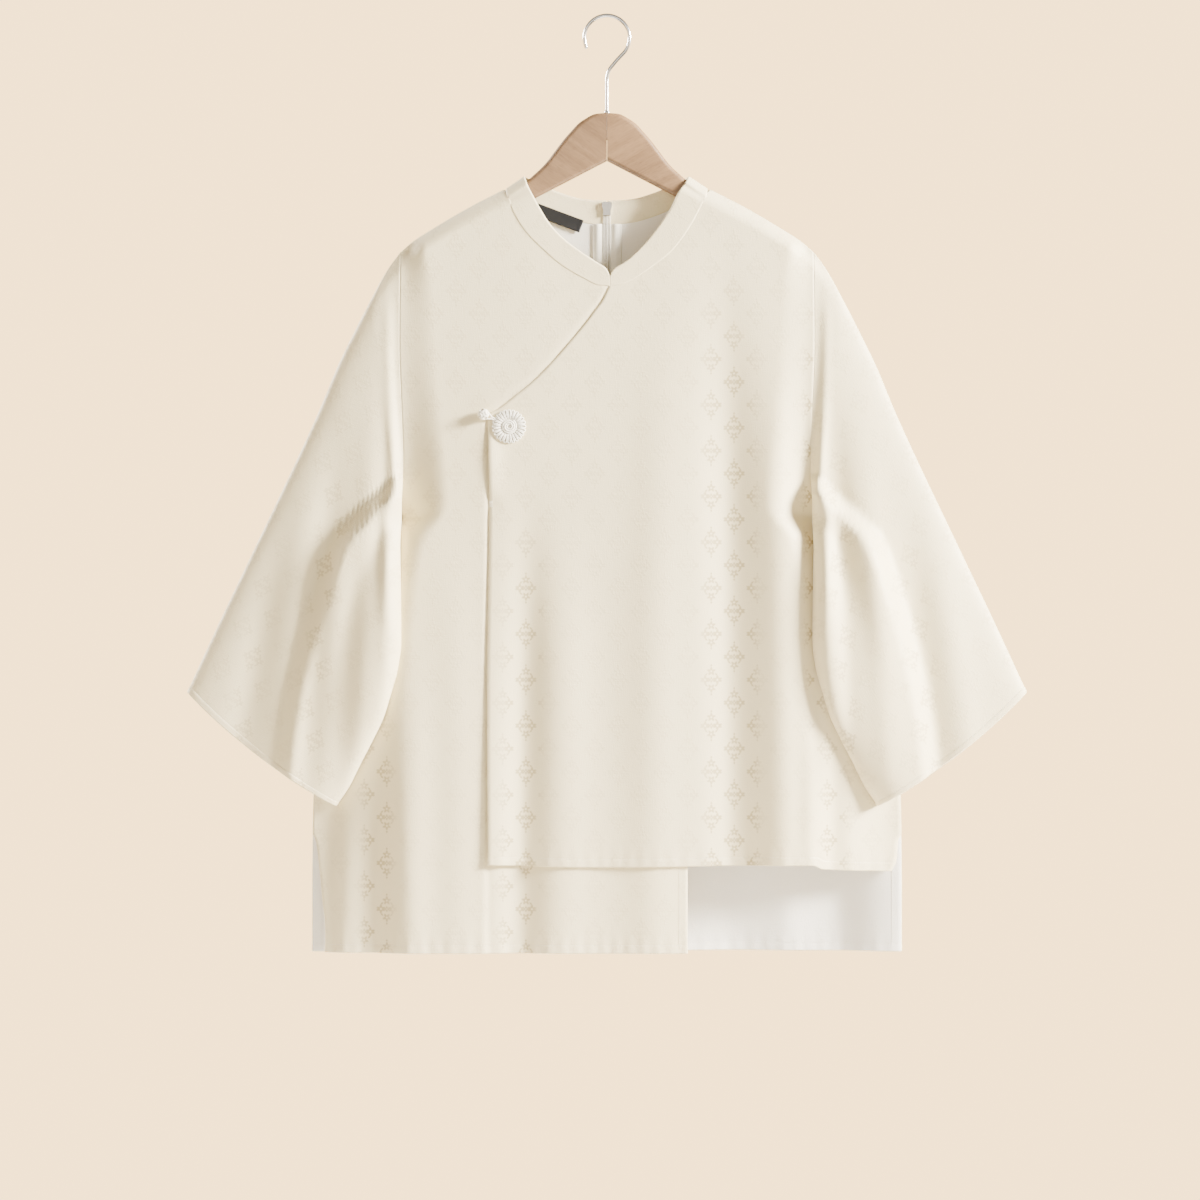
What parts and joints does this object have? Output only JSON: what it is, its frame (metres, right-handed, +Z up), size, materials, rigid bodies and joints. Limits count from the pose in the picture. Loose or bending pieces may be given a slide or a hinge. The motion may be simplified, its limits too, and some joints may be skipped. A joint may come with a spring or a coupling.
{
  "type": "three-quarter sleeve top on a wooden hanger",
  "caption": "Ivory jacquard cross-over top with a stand collar, wide three-quarter sleeves and a flower frog, hanging on a beech hanger.",
  "frame": {"origin": "inside top of the hanger's hook, where a rail holds it", "axes": "+Z up, +X to the viewer's right, the garment's front faces -Y"},
  "size_m": [0.772, 0.0603, 0.8625],
  "materials": {
    "cloth": "satin-faced jacquard",
    "zip_tape": "matte woven tape",
    "cord": "bias cord of the same cloth",
    "label": "black satin",
    "steel": "plated",
    "beech": "clear satin varnish"
  },
  "bodies": {
    "top_on_hanger": {"front_over": "cloth", "front_under": "cloth", "back_left": "cloth", "back_right": "cloth", "sleeve_left": "cloth", "sleeve_right": "cloth", "collar_left": "cloth", "collar_right": "cloth", "zip_tape_left": "zip_tape", "zip_tape_right": "zip_tape", "zip_coil": "zip_tape", "zip_slider": "steel", "neck_label": "label", "frog_flower": "cord", "frog_ball": "cord", "frog_loop": "cord", "hanger_arm_left": "beech", "hanger_arm_right": "beech", "hanger_hook": "steel"},
    "pull_tab": {"zip_pull": "steel"}
  },
  "joints": [
    {"name": "pull_tab_swing", "type": "hinge", "parent": "top_on_hanger", "child": "pull_tab", "pos_m": [0, 0.0118, -0.1748], "axis": [1, 0, 0], "range_deg": [0, 140]}
  ]
}
